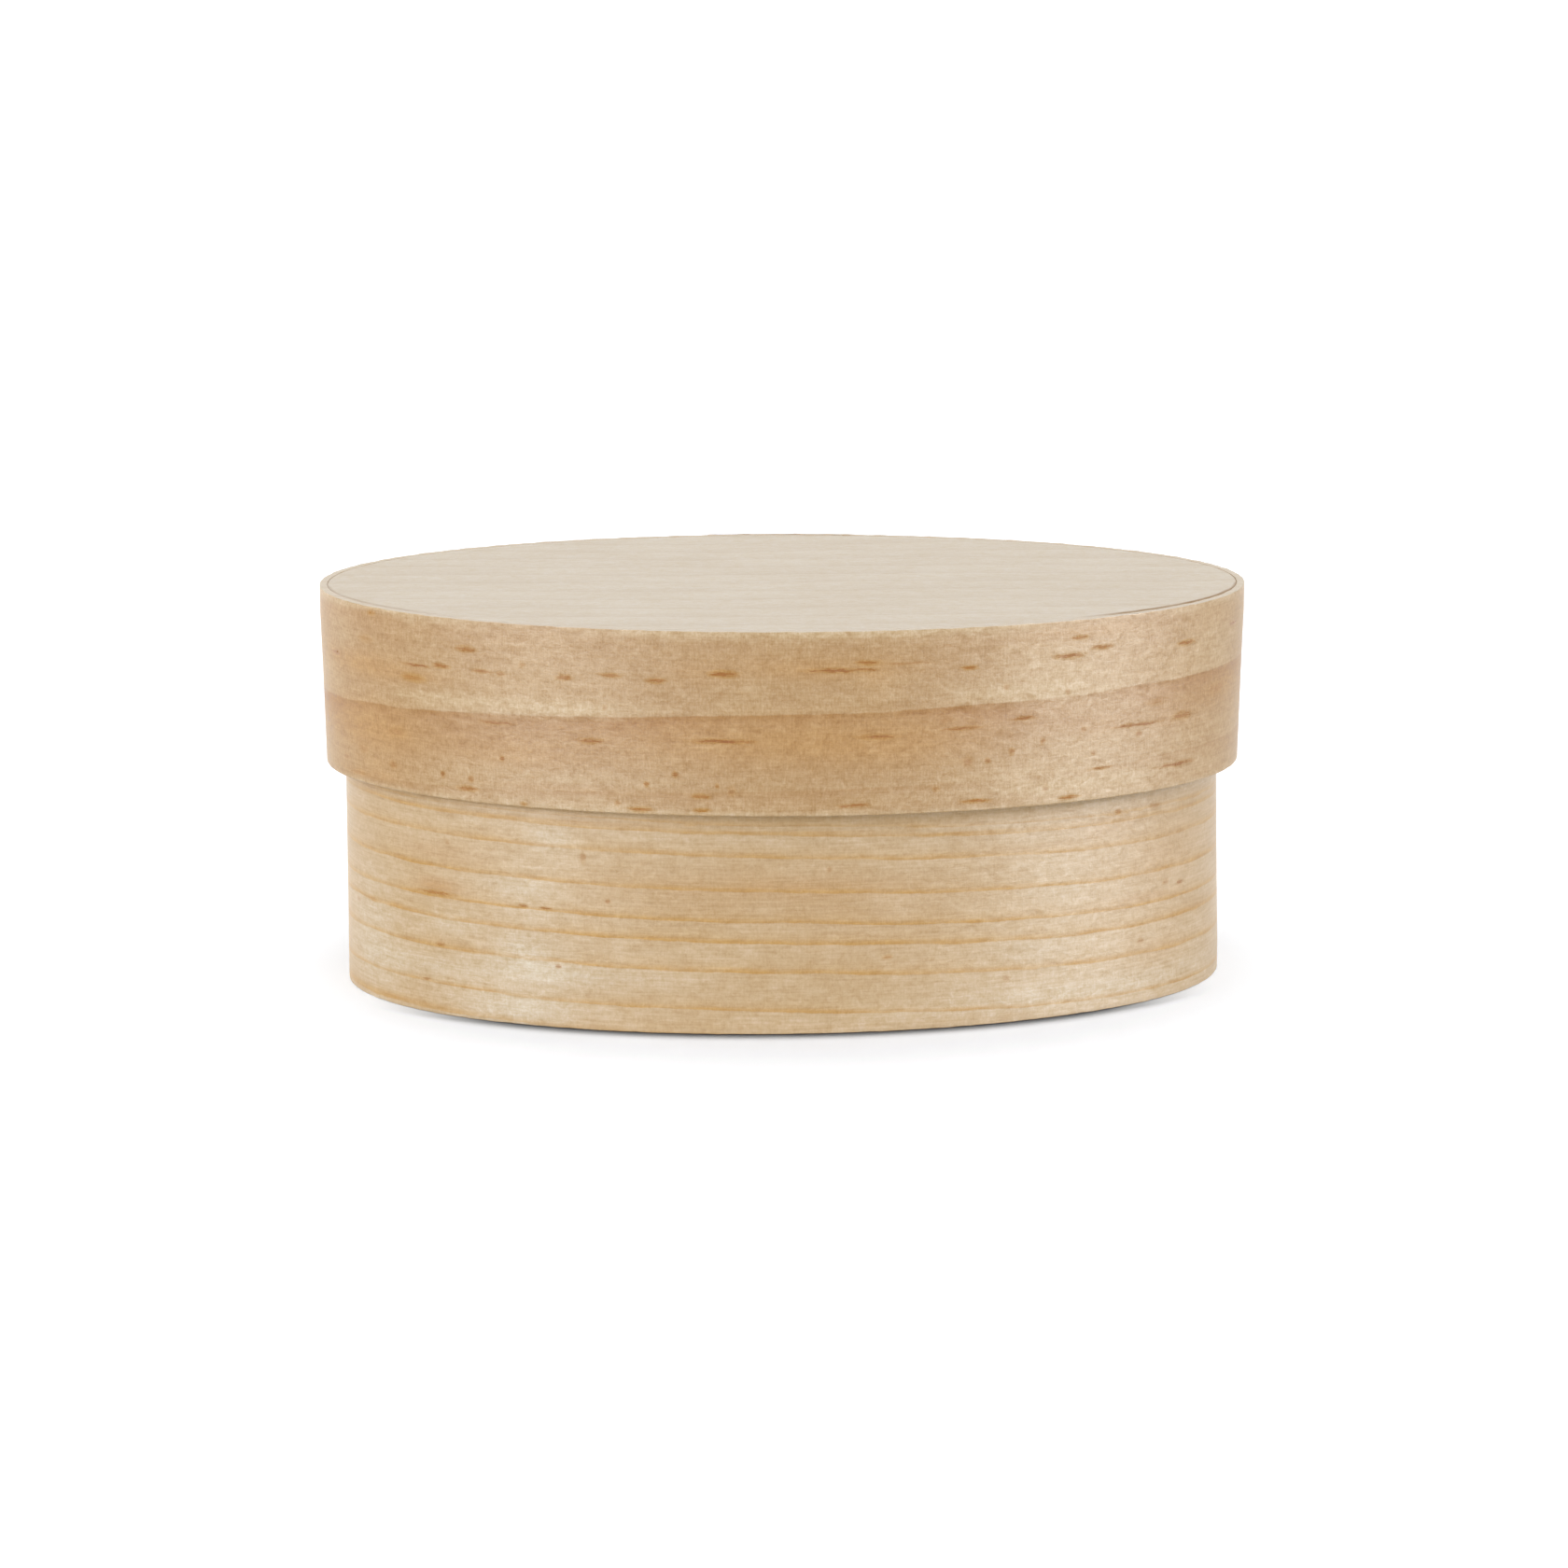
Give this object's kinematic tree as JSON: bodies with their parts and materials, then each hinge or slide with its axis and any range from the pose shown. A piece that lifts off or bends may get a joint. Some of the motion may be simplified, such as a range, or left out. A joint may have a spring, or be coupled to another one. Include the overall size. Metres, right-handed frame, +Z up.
{
  "type": "oval chip box",
  "caption": "Oval lidded box of bent wooden strips with glued, overlapped ends, a flat bottom board and a loose lift-off lid.",
  "frame": {"origin": "on the floor, under the middle of the box", "axes": "+X along the oval, +Z up through the lid, -Y towards the side that the picture shows"},
  "size_m": [0.1198, 0.077, 0.0518],
  "materials": {
    "base_strip_wood": "raw sanded softwood strip with evenly spaced growth rings",
    "lid_strip_wood": "raw sanded softwood strip, flat grain with short resin streaks",
    "board_wood": "raw sanded pale softwood board",
    "glue": "dried wood glue, brownish and slightly clear"
  },
  "bodies": {
    "base": {"base_board": "board_wood", "base_band": "base_strip_wood", "base_rim_glue": "glue", "base_lap_glue": "glue"},
    "lid": {"lid_board": "board_wood", "lid_band": "lid_strip_wood", "lid_rim_glue": "glue", "lid_lap_glue": "glue"}
  },
  "joints": [
    {"name": "lid_lift", "type": "slide", "parent": "base", "child": "lid", "axis": [0, 0, 1], "range_m": [0, 0.08]}
  ]
}
